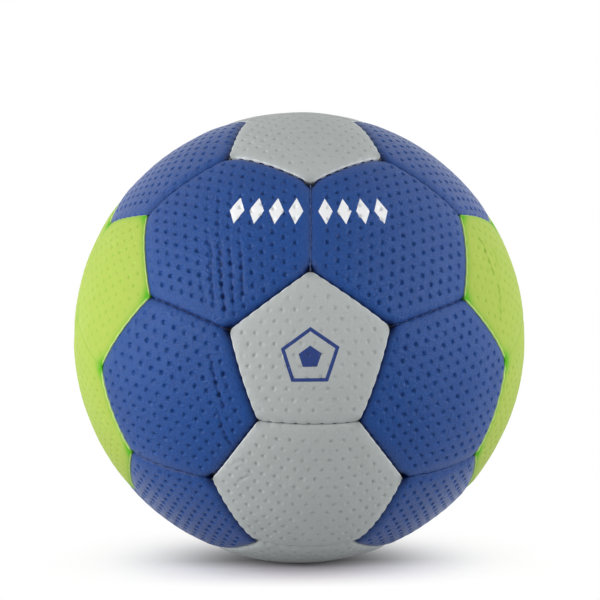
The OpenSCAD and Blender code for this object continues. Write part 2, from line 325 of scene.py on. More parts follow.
class Outline:
    """A panel's edges in its own frame, and where points lie between them."""

    def __init__(self, sides, name="", colour="grey", frame_in=None):
        self.sides = sides
        a, k = edge_angle(sides), corner_angle(sides)
        c, s = on_circle(turns(sides)).T
        one = np.ones(sides)
        self.mids = np.stack([sin(a) * c, sin(a) * s, cos(a) * one])
        self.normals = np.stack([-cos(a) * c, -cos(a) * s, sin(a) * one])
        self.alongs = np.stack([-s, c, 0 * one])
        c, s = on_circle(turns(sides) + pi / sides).T
        self.corners = np.stack([sin(k) * c, sin(k) * s, cos(k) * one])
        self.over = np.zeros(sides)
        if frame_in is not None:
            seams = zip((frame_in @ self.mids).T, -(frame_in @ self.normals).T)
            self.over = np.array([overlap(name, colour, *panel_beyond(*seam)) for seam in seams])
        lie = [int(k) for k in np.sign(self.over)]
        self.rims = np.array([RIM_OF[colour, k] for k in lie]) * (1, MM, MM, 1, 1)
        pairs = [sorted((lie[i], lie[(i + 1) % sides])) for i in range(sides)]
        corners = [CORNER_OF.get((colour, *pair), PLAIN_CORNER) for pair in pairs]
        self.rounding, self.pits, self.corner_shades = (np.array(corners) * (MM, MM, 1)).T

    def heights(self, dirs):
        return BALL_R * np.arcsin(dirs @ self.normals) + self.over

    def rim(self, dirs):
        """How the nearest rim lies, as the columns of RIM_OF, blended at the corners."""
        heights = self.heights(dirs)
        share = np.exp(-(heights - heights.min(axis=1)[:, None]) / RIM_BLEND)
        return (share @ self.rims / share.sum(axis=1)[:, None]).T

    def gap(self, dirs):
        """How far the rim stands back from the seam's plane, most at a stitch."""
        _, along, _ = self.measure(dirs)
        return self.rim(dirs)[0] * (RIM_GAP + NOTCH_GAP * bell(from_stitch(along), NOTCH_W))

    def measure(self, dirs):
        """Height over the rounded outline, distance along the nearest seam and distance to a corner."""
        heights = self.heights(dirs)
        nearest, second = np.argsort(heights, axis=1)[:, :2].T
        rows = np.arange(len(dirs))
        along = BALL_R * np.arctan2((dirs @ self.alongs)[rows, nearest], (dirs @ self.mids)[rows, nearest])
        corner_r = self.rounding[np.where((second - nearest) % self.sides == 1, nearest, second)]
        a, b = corner_r - heights[rows, nearest], corner_r - heights[rows, second]
        c, s = cos(2 * pi / self.sides), sin(2 * pi / self.sides)
        rounded = np.sqrt(np.maximum(a * a + b * b - 2 * a * b * c, 0)) / s
        inset = np.where((a > 0) & (b > a * c), rounded, a)
        to_corner = BALL_R * np.arccos(np.clip((dirs @ self.corners).max(axis=1), -1, 1))
        return corner_r - inset, along, to_corner

    def height(self, flat):
        return self.measure(flat_to_dirs(flat))[0]

    def at_corner(self, values, dirs):
        """The nearest corner's value out of one per corner."""
        return values[(dirs @ self.corners).argmax(axis=1)]


def flat_to_dirs(flat):
    """Points of the flat pattern, measured along the cover from its middle, as directions."""
    length = off_middle(flat)
    theta = length / BALL_R
    scale = np.where(length > 0, np.sin(theta) / np.maximum(length, 1e-12), 1 / BALL_R)
    return np.column_stack([flat * scale[:, None], np.cos(theta)])


def dirs_to_flat(dirs):
    theta = np.arccos(np.clip(dirs[:, 2], -1, 1))
    return dirs[:, :2] * (theta * BALL_R / np.maximum(off_middle(dirs), 1e-12))[:, None]


def from_stitch(along):
    """Distance along a seam to its nearest stitch."""
    return along - np.clip(np.round(along / STITCH_PITCH), -LAST_STITCH, LAST_STITCH) * STITCH_PITCH


class Dents:
    """A hand-stretched cover's unevenness: a few slow waves in random directions."""

    def __init__(self, rng):
        directions = rng.normal(size=(DENT_WAVES, 3))
        lengths = rng.uniform(*DENT_LENGTHS, DENT_WAVES)
        self.vectors = units(directions) / lengths[:, None]
        self.phases = rng.uniform(0, 2 * pi, DENT_WAVES)

    def at(self, dirs):
        waves = np.sin(2 * pi * BALL_R * dirs @ self.vectors.T + self.phases)
        return DENT_DEPTH * waves.mean(axis=1) * 3


class Crease:
    """A wrinkle along a line of points of the flat pattern, in millimetres."""

    def __init__(self, line, width, depth):
        self.line = np.array(line) * MM
        self.width, self.depth = width * MM, depth * MM
        steps = np.linalg.norm(np.diff(self.line, axis=0), axis=1)
        self.starts = np.concatenate([[0], np.cumsum(steps)])
        self.length = self.starts[-1]

    def locate(self, flat):
        """How far along the line each point lies, as a share, and how far off it."""
        best, share = np.full(len(flat), np.inf), np.zeros(len(flat))
        for a, b, start in zip(self.line, self.line[1:], self.starts):
            size = np.linalg.norm(b - a)
            t = np.clip((flat - a) @ (b - a) / size, 0, size)
            off = np.linalg.norm(flat - a - t[:, None] * (b - a) / size, axis=1)
            nearer = off < best
            best, share = np.where(nearer, off, best), np.where(nearer, (start + t) / self.length, share)
        return share, best

    def at(self, flat):
        """A swaying, swelling groove between low ridges, which fades at its ends."""
        sway = 0.2 * MM * np.sin(flat[:, ::-1] / (0.45 * MM) + self.length / MM)
        t, off = self.locate(flat + sway)
        fade = smooth(t, 0, 0.3) * (1 - 0.5 * smooth(t, 0.9, 1.0))
        swell = 0.66 + 0.34 * np.sin(2 * pi * t * self.length / (3.9 * MM) + self.length / MM)
        ridge = 0.35 * bell(off - 2.4 * self.width, 1.2 * self.width)
        return 1.3 * self.depth * fade * swell * (bell(off, self.width) - ridge)

    def points(self):
        """Extra points of the mesh across and along the wrinkle."""
        found = []
        for s in np.arange(0, self.length, CREASE_STEP):
            k = min(np.searchsorted(self.starts, s, side="right") - 1, len(self.line) - 2)
            along = (self.line[k + 1] - self.line[k]) / (self.starts[k + 1] - self.starts[k])
            across = np.array([-along[1], along[0]])
            middle = self.line[k] + along * (s - self.starts[k])
            found += [middle + across * row * self.width for row in CREASE_ROWS]
        found = np.array(found)
        kept = found[:1]
        for point in found[1:]:
            if ((kept - point) ** 2).sum(axis=1).min() > CREASE_APART ** 2:
                kept = np.vstack([kept, point])
        return kept


def lattice(steps, angles, shift, reach):
    """Points in rows of two given steps and directions, out to reach from the middle."""
    n = int(2 * reach / min(steps)) + 4
    i, j = np.meshgrid(np.arange(-n, n + 1), np.arange(-n, n + 1))
    one, two = (step * np.array([cos(angle), sin(angle)]) for step, angle in zip(steps, angles))
    points = i.reshape(-1, 1) * one + j.reshape(-1, 1) * two + np.asarray(shift)
    return points[off_middle(points) < reach]


def even_lattice(step, angle, shift, reach):
    return lattice((step, step), (angle, angle + pi / 3), shift, reach)


def squares(points, others):
    """Blocks of points, each with its squared distances to the others."""
    for start in range(0, len(points), 512):
        block = slice(start, start + 512)
        yield block, ((points[block, None] - others) ** 2).sum(axis=2)


def far_from(points, others, distance):
    """Which of points lie at least distance from all the others."""
    keep = np.ones(len(points), bool)
    if len(others):
        for block, square in squares(points, others):
            keep[block] = square.min(axis=1) >= distance * distance
    return keep


def inside_polygon(points, loop):
    x, y = points[:, 0], points[:, 1]
    hit = np.zeros(len(points), bool)
    for (x1, y1), (x2, y2) in zip(loop, np.roll(loop, -1, axis=0)):
        if y1 != y2:
            hit ^= ((y1 > y) != (y2 > y)) & (x < (x2 - x1) * (y - y1) / (y2 - y1) + x1)
    return hit


def triangulate(loops, inner):
    """All the points, and triangles inside the first loop that keep every loop's edges."""
    points = np.concatenate([*loops, inner])
    outer = list(range(len(loops[0])))
    edges, start = [], len(outer)
    for size in map(len, loops[1:]):
        edges += [(start + k, start + (k + 1) % size) for k in range(size)]
        start += size
    verts, _, faces, sources, _, _ = delaunay_2d_cdt([Vector(p) for p in points], edges, [outer], 1, 1e-9)
    if len(verts) != len(points):
        raise RuntimeError(f"the pattern gained {len(verts) - len(points)} points")
    order = np.array([source[0] for source in sources])
    return points, order[np.array(faces)]


def round_hole(faces, first):
    """Which faces leave the hole open whose points start at first."""
    return ~((faces >= first) & (faces < first + HOLE_SAMPLES)).all(axis=1)


class Shell:
    """One closed mesh, gathered ring by ring."""

    def __init__(self):
        self.verts, self.faces, self.marks, self.size = [], [], [], 0

    def place(self, flat, depth):
        """Adds points at a depth under the ball's sphere; gives the first one's number."""
        self.verts.append(flat_to_dirs(flat) * np.reshape(BALL_R - depth, (-1, 1)))
        self.size += len(flat)
        return self.size - len(flat)

    def add(self, faces, flip=False, marks=None):
        self.faces.append(faces[:, ::-1] if flip else faces)
        self.marks.append(np.zeros(len(faces), int) if marks is None else marks)

    def strip(self, a, b, size, flip=False):
        """Quads between two rings of points that start at a and b."""
        k = np.arange(size)
        n = (k + 1) % size
        self.add(np.column_stack([a + k, a + n, b + n, b + k]), flip)


class Panel(Outline):
    """One cover panel as a closed mesh: the dimpled face, the rim, the turned-in hem and the back."""

    def __init__(self, name, axes, colour, number):
        self.name, self.colour = name, colour
        self.frame = panel_frame(axes)
        super().__init__(sides_of(axes), name, colour, self.frame)
        self.reach = BALL_R * corner_angle(self.sides)
        self.rng = np.random.default_rng(number + 11)
        self.dents = Dents(self.rng)
        self.creases = self.place_creases()
        self.prints = PRINTS[name](self) if name in PRINTS else []
        self.hole_r = NECK_HOLE_R if name == "pentagon_back" else 0
        self.holes = [self.hole_r * on_circle(turns(HOLE_SAMPLES))] if self.hole_r else []
        self.dimples = self.place_dimples()

    def place_creases(self):
        if self.name not in CREASES:
            return []
        upward, creases = CREASES[self.name]
        up = upward @ self.frame[:, :2]
        up = up / np.hypot(*up)
        right = np.array([up[1], -up[0]])
        turned = np.array([right, up])
        return [Crease(np.reshape(line, (-1, 2)) @ turned, width, depth) for line, width, depth in creases]

    def place_dimples(self):
        chance = self.rng.uniform(0, DIMPLE_PITCH / MM, 2)
        even = (DIMPLE_PITCH / MM, 90.0, DIMPLE_PITCH / MM, 150.0, *chance)
        step_1, turn_1, step_2, turn_2, x, y = LATTICES.get(self.name, even)
        angles = (radians(turn_1), radians(turn_2))
        centres = lattice((step_1 * MM, step_2 * MM), angles, (x * MM, y * MM), self.reach)
        height = self.height(centres)
        keep = (height > DIMPLE_MARGIN) & (off_middle(centres) > 1.8 * self.hole_r)
        centres, height = centres[keep], height[keep]
        chance = self.rng.uniform(0.8, 1.15, len(centres))
        self.strength = smooth(height, 0.4 * DIMPLE_MARGIN, DIMPLE_FULL) * chance
        return centres

    def dimple_depth(self, flat):
        radius, depth = DIMPLE_OF[self.colour]
        total = np.zeros(len(flat))
        for block, square in squares(flat, self.dimples):
            r = np.sqrt(square)
            pit = 0.5 * (1 + np.cos(pi * np.minimum(r / radius, 1) ** 1.7))
            lip = 0.14 * bell(r - 1.25 * radius, 0.35 * radius)
            total[block] = ((pit - lip) * self.strength).sum(axis=1)
        return depth * total

    def depth(self, flat):
        """How deep the cover's outer face lies below the ball's sphere."""
        dirs = flat_to_dirs(flat)
        height, along, to_corner = self.measure(dirs)
        inside = np.maximum(height - self.gap(dirs), 0)
        shoulder = SHOULDER_OF[self.colour] * np.clip(1 - inside / SHOULDER_W, 0, 1) ** 2.4
        slack, fold_w, fold_drop, _, _ = self.rim(dirs)
        fold = fold_drop * np.exp(-inside / fold_w)
        off_stitch = (from_stitch(along) / PINCH_R) ** 2 + (inside / PINCH_REACH) ** 2
        pinch = slack * PINCH_DROP * np.exp(-off_stitch)
        pit = self.at_corner(self.pits, dirs) * bell(to_corner, CORNER_PIT_R)
        total = shoulder + fold + pinch + pit + self.dimple_depth(flat)
        total += (self.dents.at(dirs) + DENT_MEAN) * smooth(inside, 0, DENT_FADE)
        for crease in self.creases:
            total += crease.at(flat)
        return np.maximum(total, 0)

    def tone(self, flat):
        """How far the colour turns to the painted shade's: at rims, in corners, dimples and wrinkles."""
        rim_w, corner_w, dimple, wrinkle = PAINTED_SHADE_OF[self.colour]
        dirs = flat_to_dirs(flat)
        height, _, to_corner = self.measure(dirs)
        *_, rim_shade = self.rim(dirs)
        total = rim_shade * np.exp(-((np.maximum(height, 0) / rim_w) ** 1.5))
        total += self.at_corner(self.corner_shades, dirs) * bell(to_corner, corner_w)
        total += dimple * (np.maximum(self.dimple_depth(flat), 0) / DIMPLE_OF[self.colour][1]) ** 2
        for crease in self.creases:
            total += wrinkle * np.maximum(crease.at(flat), 0) / WRINKLE_FULL_SHADE
        return np.clip(total, 0, 1)

    def edge(self, flat):
        """How far the colour turns to the pale line's, a painted highlight where two colours meet."""
        dirs = flat_to_dirs(flat)
        height, _, to_corner = self.measure(dirs)
        *_, highlight, _ = self.rim(dirs)
        line = np.exp(-((np.maximum(height, 0) / RIM_HIGHLIGHT_OF[self.colour]) ** 4))
        return highlight * smooth(to_corner, *RIM_HIGHLIGHT_START) * line

    def ring(self, height, notched=False):
        """Flat points at a height over the seams' planes; notched adds the rim's own gap."""
        s = (np.arange(SAMPLES_PER_EDGE) + 0.5) / SAMPLES_PER_EDGE * 2 * SEAM_HALF - SEAM_HALF
        sides = zip(self.mids.T, self.alongs.T)
        dirs = np.concatenate([np.cos(s)[:, None] * mid + np.sin(s)[:, None] * along for mid, along in sides])
        heading = dirs[:, :2] / off_middle(dirs)[:, None]
        low, high = np.zeros(len(dirs)), np.full(len(dirs), 1.06 * BALL_R * corner_angle(self.sides))
        for _ in range(HALVINGS):
            middle = (low + high) / 2
            dirs = flat_to_dirs(heading * middle[:, None])
            wanted = height + self.gap(dirs) if notched else height
            inside = self.measure(dirs)[0] > wanted
            low, high = np.where(inside, middle, low), np.where(inside, high, middle)
        return heading * low[:, None]

    def face_points(self, last):
        """The face's inner points: rings round dimples, rows along wrinkles and a filling."""
        radius, _ = DIMPLE_OF[self.colour]
        rings = [self.dimples]
        for k, share in enumerate(DIMPLE_RINGS):
            twist = pi / DIMPLE_SPOKES * (k % 2)
            c, s = cos(twist), sin(twist)
            spun = on_circle(turns(DIMPLE_SPOKES)) @ np.array([[c, s], [-s, c]])
            rings.append((self.dimples[:, None, :] + radius * share * spun[None, :, :]).reshape(-1, 2))
        pits = np.concatenate(rings)
        extra = np.concatenate([np.zeros((0, 2)), *(crease.points() for crease in self.creases)])
        fill = even_lattice(FILL_STEP, 0.3, self.rng.uniform(0, FILL_STEP, 2), self.reach)
        fill = fill[far_from(fill, self.dimples, FILL_TO_DIMPLE * radius)]
        pits = pits[far_from(pits, extra, PIT_TO_CREASE)]
        fill = fill[far_from(fill, extra, FILL_TO_CREASE)]
        points = np.concatenate([pits, extra, fill])
        points = points[self.height(points) > last + FACE_TO_RIM]
        if self.hole_r:
            points = points[off_middle(points) > self.hole_r + FACE_TO_HOLE]
        outlines = np.concatenate([np.zeros((0, 2)), *self.prints, *self.holes])
        return points[far_from(points, outlines, FACE_TO_PRINT)]

    def build(self):
        """Points, faces, each face's finish and each point's painted shade and painted highlight."""
        last = RIM_STEPS[-1] * MM + RIM_GAP + NOTCH_GAP
        rings = [self.ring(step * MM, notched=True) for step in RIM_STEPS[:-1]]
        inner = self.face_points(last)
        face, triangles = triangulate([self.ring(last), *self.prints, *self.holes], inner)
        shell = Shell()
        count = len(rings[0])
        starts = [shell.place(flat, self.depth(flat)) for flat in [*rings, face]]
        for start, next_start in zip(starts, starts[1:]):
            shell.strip(start, next_start, count)
        middles = face[triangles].mean(axis=1)
        ink = sum((inside_polygon(middles, loop) for loop in self.prints), np.zeros(len(middles), int))
        hole_at = len(face) - len(inner) - HOLE_SAMPLES
        keep = round_hole(triangles, hole_at) if self.hole_r else slice(None)
        shell.add(triangles[keep] + starts[-1], marks=ink[keep] % 2)

        previous = starts[0]
        for gaps, depth in HEM_SECTION:
            start = shell.place(self.ring(gaps * SEAM_GAP), depth * MM)
            shell.strip(previous, start, count, flip=True)
            previous = start
        inner = even_lattice(BACK_STEP, 0.2, (0, 0), self.reach)
        inner = inner[(self.height(inner) > BACK_TO_RIM) & (off_middle(inner) > 1.6 * self.hole_r)]
        back, triangles = triangulate([self.ring(BACK_EDGE), *self.holes], inner)
        start = shell.place(back, COVER_T)
        shell.strip(previous, start, count, flip=True)
        keep = round_hole(triangles, count) if self.hole_r else slice(None)
        shell.add(triangles[keep] + start, flip=True)
        if self.hole_r:
            shell.strip(starts[-1] + hole_at, start + count, HOLE_SAMPLES, flip=True)

        local = np.concatenate(shell.verts)
        flat = dirs_to_flat(units(local))
        verts = SEWING.apply(local @ self.frame.T)
        return verts, shell.faces, np.concatenate(shell.marks), self.tone(flat), self.edge(flat)


def mesh_object(name, verts, faces, materials, marks=None, smooth_faces=True, **values):
    """An object from arrays of points and of faces, each with faces of one size; materials read the values."""
    mesh = bpy.data.meshes.new(name)
    sizes = np.concatenate([np.full(len(f), f.shape[1]) for f in faces])
    corners = np.concatenate([f.ravel() for f in faces])
    mesh.vertices.add(len(verts))
    mesh.vertices.foreach_set("co", np.asarray(verts, np.float32).ravel())
    mesh.loops.add(len(corners))
    mesh.loops.foreach_set("vertex_index", corners.astype(np.int32))
    mesh.polygons.add(len(sizes))
    mesh.polygons.foreach_set("loop_start", (np.cumsum(sizes) - sizes).astype(np.int32))
    mesh.polygons.foreach_set("use_smooth", np.full(len(sizes), smooth_faces))
    if marks is not None:
        mesh.polygons.foreach_set("material_index", marks.astype(np.int32))
    mesh.update(calc_edges=True)
    mesh.validate()
    for key, value in values.items():
        mesh.attributes.new(key, "FLOAT", "POINT").data.foreach_set("value", value.astype(np.float32))
    for material in materials:
        mesh.materials.append(material)
    return new_object(name, mesh)


def new_object(name, data):
    made = bpy.data.objects.new(name, data)
    bpy.context.scene.collection.objects.link(made)
    return made


# Wrinkles by panel: the axis that is up, then each one's points (x, y, x, y ...), width and depth in mm
CREASES = {
    "hexagon_front_upper_left": (TOP, (
        ((-1.3, -0.5, 1.5, -4.0, 4.8, -10.3, 8.7, -17.7, 11.4, -21.7, 14.8, -27.6), 0.66, 0.50),
        ((3.8, -1.9, 8.4, -8.9, 10.8, -13.0, 13.4, -17.8, 16.1, -22.8), 0.55, 0.34),
        ((7.6, 0.3, 11.2, -6.2, 13.5, -10.0, 15.6, -13.4, 18.1, -19.7), 0.55, 0.34),
        ((-5.8, -1.1, -2.5, -5.4, 0.5, -9.5, 4.0, -16.9, 6.4, -21.3, 9.8, -26.1), 0.58, 0.36),
        ((-8.0, 18.0, -2.9, 10.6, 0.6, 4.4), 0.55, 0.20),
        ((-10.0, 12.7, -4.9, 5.6, -1.3, -0.5), 0.55, 0.16),
        ((-0.5, -17.7, 2.4, -22.1, 6.2, -26.0), 0.55, 0.16),
    )),
    "hexagon_front_left": (LEFT, (
        ((25.9, 1.0, 22.7, -4.6, 18.3, -10.8, 15.5, -15.2, 14.0, -19.3), 0.60, 0.42),
        ((12.8, -14.8, 9.8, -18.5, 5.6, -23.7, 2.8, -28.1, 1.8, -30.1), 0.60, 0.38),
        ((26.4, -5.4, 22.6, -11.2, 20.2, -16.5), 0.60, 0.18),
    )),
    "hexagon_front_right": (RIGHT, (
        ((-24.4, -10.7, -20.4, -16.0, -18.0, -21.7), 0.60, 0.12),
    )),
    "pentagon_right": (TOP, (
        ((-0.2, 20.4, -1.0, 18.0, -1.0, 15.2, -3.1, 12.8), 0.50, 0.42),
        ((-2.7, 13.0, -3.9, 10.0, -4.9, 7.0, -6.0, 4.5), 0.50, 0.42),
        ((-4.9, 4.3, -5.5, 1.1, -8.4, -2.1, -10.9, -5.4, -15.0, -9.0), 0.50, 0.38),
        ((6.6, 11.6, 3.9, 8.4, 0.9, 4.6), 0.50, 0.24),
    )),
    "hexagon_front_lower": (FRONT, (
        ((-31.1, 6.9, -27.2, 11.8, -22.9, 14.7), 0.60, 0.14),
        ((-28.6, -0.4, -24.5, 4.9, -20.3, 7.9), 0.60, 0.14),
    )),
}

# The printed ornament: the lozenges' level, half sizes, first place and spacing in mm, and the pentagons' radii
LOZENGE_LEVEL = radians(34.6)
LOZENGE_HALF = (2.7 * MM, 5.2 * MM)
LOZENGES_FROM, LOZENGES_PITCH = 5.5, 7.2
NESTED_RADII = (10.8 * MM, 9.2 * MM, 4.2 * MM)


def along_sides(tips, samples):
    """Points along the sides of a polygon."""
    steps = np.arange(samples)[:, None] / samples
    return np.concatenate([a + (b - a) * steps for a, b in zip(tips, np.roll(tips, -1, axis=0))])


def lozenge_row(panel):
    """Lozenges in a level row high on the ball's front, across the two upper blue panels."""
    side = 1 if "right" in panel.name else -1
    half_w, half_h = LOZENGE_HALF
    shape = along_sides(np.array([(half_w, 0), (0, half_h), (-half_w, 0), (0, -half_h)]), 12)
    loops = []
    for k in range(4):
        turn = side * (LOZENGES_FROM + LOZENGES_PITCH * k) * MM / (BALL_R * cos(LOZENGE_LEVEL))
        across = cos(LOZENGE_LEVEL)
        middle = np.array([across * sin(turn), -across * cos(turn), sin(LOZENGE_LEVEL)])
        east = unit(np.cross((0, 0, 1), middle))
        north = np.cross(middle, east)
        dirs = np.array([unit(middle * BALL_R + east * x + north * y) for x, y in shape])
        loops.append(dirs_to_flat(dirs @ panel.frame))
    return loops


def nested_pentagons(panel):
    """A pentagon's outline with a small solid one inside it, turned as the panel is."""
    tips = on_circle(pi / panel.sides + turns(panel.sides))
    return [along_sides(radius * tips, 16) for radius in NESTED_RADII]


# Plain printed ornament by panel: a function that gives its outlines in the flat pattern
PRINTS = {
    "hexagon_front_upper_left": lozenge_row,
    "hexagon_front_upper_right": lozenge_row,
    "pentagon_front": nested_pentagons,
}


def linear(r, g, b):
    """A colour as it shows on screen, from 0 to 255, as the shader's linear values."""
    def one(c):
        c /= 255
        return c / 12.92 if c <= 0.04045 else ((c + 0.055) / 1.055) ** 2.4
    return (one(r), one(g), one(b), 1.0)


def darker(colour, share):
    return tuple(share * c for c in colour[:3]) + (1.0,)


class Tree:
    """A material's or the world's nodes, with short ways to add what the looks need."""

    def __init__(self, owner):
        owner.use_nodes = True
        self.owner, self.nodes, self.links = owner, owner.node_tree.nodes, owner.node_tree.links

    def feed(self, made, inputs):
        """Sets a node's inputs to values, or links them to outputs."""
        for key, value in inputs.items():
            if hasattr(value, "is_output"):
                self.links.new(value, made.inputs[key])
            else:
                made.inputs[key].default_value = value

    def node(self, kind, inputs=None, **settings):
        made = self.nodes.new("ShaderNode" + kind)
        for key, value in settings.items():
            setattr(made, key, value)
        self.feed(made, inputs or {})
        return made

    def place(self):
        return self.node("TexCoord").outputs["Object"]

    def noise(self, scale, detail, roughness=0.5):
        inputs = {"Vector": self.place(), "Scale": scale, "Detail": detail, "Roughness": roughness}
        return self.node("TexNoise", inputs).outputs["Fac"]

    def mesh_value(self, name):
        return self.node("Attribute", attribute_name=name).outputs["Fac"]

    def maths(self, operation, *values):
        return self.node("Math", dict(enumerate(values)), operation=operation).outputs[0]

    def span(self, value, low, high, to_low=0.0, to_high=1.0, **settings):
        inputs = {"Value": value, "From Min": low, "From Max": high, "To Min": to_low, "To Max": to_high}
        return self.node("MapRange", inputs, **settings).outputs["Result"]

    def mix(self, share, a, b):
        return self.node("Mix", {"Factor": share, "A": a, "B": b}, data_type="RGBA").outputs["Result"]

    def mix_shaders(self, share, a, b):
        return self.node("MixShader", {"Fac": share, 1: a.outputs[0], 2: b.outputs[0]})

    def finish(self, colour, roughness, bumps, strength, distance, others=()):
        """Feeds the material's shader and gives the material."""
        bump = self.node("Bump", {"Height": bumps, "Strength": strength, "Distance": distance})
        inputs = {"Base Color": colour, "Roughness": roughness, "Normal": bump.outputs["Normal"]}
        self.feed(self.nodes["Principled BSDF"], {**inputs, **dict(others)})
        return self.owner


def leather(name, tones, roughness, grain, valley_shade, gloss, tint=(1, 1, 1, 1)):
    """Leather with a pebbled grain; tones: the colour's two, the painted shade's and the painted highlight's.
    """
    colour, shade, fold, pale = (linear(*tone) for tone in tones)
    tree = Tree(bpy.data.materials.new(name))
    pebble = tree.node("TexVoronoi", {"Vector": tree.place(), "Scale": 2000.0}, feature="SMOOTH_F1")
    height = tree.maths("MULTIPLY_ADD", pebble.outputs["Distance"], -0.5, tree.noise(1400.0, 4.0, 0.65))
    # Painted shade: the mesh's fold value, and a darker colour in the grain's valleys
    painted_shade_share = tree.maths("MAXIMUM", tree.mesh_value("fold"), tree.span(height, 0.40, 0.08, 0, valley_shade))
    look = tree.mix(tree.noise(46.0, 3.0), colour, shade)
    look = tree.mix(painted_shade_share, look, fold)
    # Painted highlight: the pale line along rims where two colours meet
    look = tree.mix(tree.mesh_value("edge"), look, pale)
    rough = tree.span(tree.noise(160.0, 4.0), 0, 1, roughness - 0.07, roughness + 0.07)
    shine = {"Specular IOR Level": gloss, "Specular Tint": tint}
    return tree.finish(look, rough, height, grain, 0.34 * MM, shine)


def rubber(name, colour, roughness):
    tree = Tree(bpy.data.materials.new(name))
    cloud = tree.noise(300.0, 5.0)
    rough = tree.span(cloud, 0, 1, roughness - 0.1, roughness + 0.1)
    return tree.finish(tree.mix(cloud, darker(colour, 0.75), colour), rough, cloud, 0.15, 0.1 * MM)


def cloth(name, colour, roughness=0.85, threads=1400.0, pale=None):
    """A plain weave of two sets of waves, with a paler yarn and painted glints where the mesh asks for it."""
    tree = Tree(bpy.data.materials.new(name))
    inputs = {"Vector": tree.place(), "Scale": threads / 6, "Distortion": 0.4}
    warp, weft = (tree.node("TexWave", inputs, bands_direction=way).outputs["Fac"] for way in "XZ")
    weave = tree.maths("MULTIPLY", warp, weft)
    look = tree.mix(weave, darker(colour, 0.7), colour)
    if pale:
        look = tree.mix(tree.mesh_value("pale"), look, pale)
    return tree.finish(look, roughness, weave, 0.4, 0.1 * MM)


# Each colour's tones: its own two, a darker painted shade and a paler painted highlight
BLUE_TONES = ((10, 64, 134), (16, 72, 146), (3, 38, 98), (7, 52, 118))
GREY_TONES = ((173, 178, 177), (180, 185, 184), (140, 145, 145), (208, 212, 213))
GREEN_TONES = ((161, 181, 77), (166, 187, 86), (72, 168, 8), (208, 233, 148))
WHITE_TONES = ((232, 234, 236), (240, 241, 242), (222, 224, 226), (240, 241, 242))
NAVY_TONES = ((24, 50, 112), (30, 56, 120), (22, 44, 102), (30, 56, 120))
COVER = {
    "blue": leather("cover_blue", BLUE_TONES, 0.30, 1.0, 0.55, 0.25, (0.82, 0.9, 1, 1)),
    "grey": leather("cover_grey", GREY_TONES, 0.45, 0.55, 0.14, 0.14),
    "green": leather("cover_green", GREEN_TONES, 0.5, 0.30, 0.08, 0.06),
}
INK_ON = {
    "blue": leather("ink_white", WHITE_TONES, 0.42, 0.16, 0.04, 0.35),
    "grey": leather("ink_navy", NAVY_TONES, 0.42, 0.16, 0.04, 0.35),
}
THREAD = cloth("thread_navy", linear(20, 32, 84), threads=5000.0, pale=linear(104, 124, 176))
LINING = cloth("textile_lining", linear(214, 208, 190))
BLADDER = rubber("bladder_rubber", linear(40, 40, 42), 0.6)
VALVE = rubber("valve_rubber", linear(30, 30, 31), 0.45)
CORE = rubber("core_rubber", linear(120, 120, 122), 0.5)


def make_panels():
    for number, (name, axes, colour) in enumerate(PANELS):
        panel = Panel(name, axes, colour, number)
        verts, faces, marks, painted_shades, edges = panel.build()
        looks = [COVER[colour], INK_ON[colour]] if panel.prints else [COVER[colour]]
        # The mesh values that the materials read: fold is the painted shade, edge the painted highlight
        made = mesh_object("cover_" + name, verts, faces, looks, marks, fold=painted_shades, edge=edges)
        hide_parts(name)
        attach(made, "root")


def tube(path, radius, twist, sides=8, lobes=0.22):
    """A closed strand along a path, two-lobed and twisted, as a two-ply thread is."""
    tangent = units(np.gradient(path, axis=0))
    side = units(np.cross(tangent, unit(path.mean(axis=0))))
    other = np.cross(side, tangent)
    angle = turns(sides)
    phase = twist * np.arange(len(path))
    r = radius * (1 + lobes * np.cos(2 * (angle[None, :] - phase[:, None])))
    out, up = (r * np.cos(angle))[:, :, None], (r * np.sin(angle))[:, :, None]
    ring = side[:, None, :] * out + other[:, None, :] * up
    verts = np.concatenate([(path[:, None, :] + ring).reshape(-1, 3), path[[0, -1]]])
    k = np.arange(sides)
    n = (k + 1) % sides
    rows = np.arange(len(path) - 1)[:, None] * sides
    quads = np.stack([rows + k, rows + n, rows + sides + n, rows + sides + k], axis=-1).reshape(-1, 4)
    end, first = (len(path) - 1) * sides, len(path) * sides
    caps = np.concatenate([np.column_stack([n, k, np.full(sides, first)]),
                           np.column_stack([end + k, end + n, np.full(sides, first + 1)])])
    return verts, quads, caps


class Strands:
    """Many tubes gathered into one mesh."""

    def __init__(self):
        self.verts, self.quads, self.caps, self.pale, self.size = [], [], [], [], 0

    def add(self, path, radius, twist, pale=0.0):
        verts, quads, caps = tube(path, radius, twist)
        self.verts.append(verts)
        self.quads.append(quads + self.size)
        self.caps.append(caps + self.size)
        along = np.broadcast_to(pale, len(path))
        self.pale.append(np.append(np.repeat(along, (len(verts) - 2) // len(path)), (along[0], along[-1])))
        self.size += len(verts)

    def arrays(self):
        faces = [np.concatenate(self.quads), np.concatenate(self.caps)]
        return SEWING.apply(np.concatenate(self.verts)), faces, np.concatenate(self.pale)


# The thread: its run along the hems, the dash in the groove at each hole and the loose ones on some seams
RUN_PAST_END = 0.8 * MM
RUN_WAVE = 0.05 * MM
RUN_SAMPLES, STITCH_SAMPLES, DASH_SAMPLES, LOOSE_SAMPLES = 37, 7, 11, 70
DASH_REACH = (1.25, 1.6)
DASH_LEAN = (0.10, 0.22)
DASH_DEPTH, DASH_DIP = 1.55, 1.2
DASH_R = 0.24 * MM
LOOSE_R = 0.19 * MM
LOOSE_WAVE = 0.16 * MM
LOOSE_DIP = 1.5 * MM
LOOSE_SWAY = 0.10 * MM

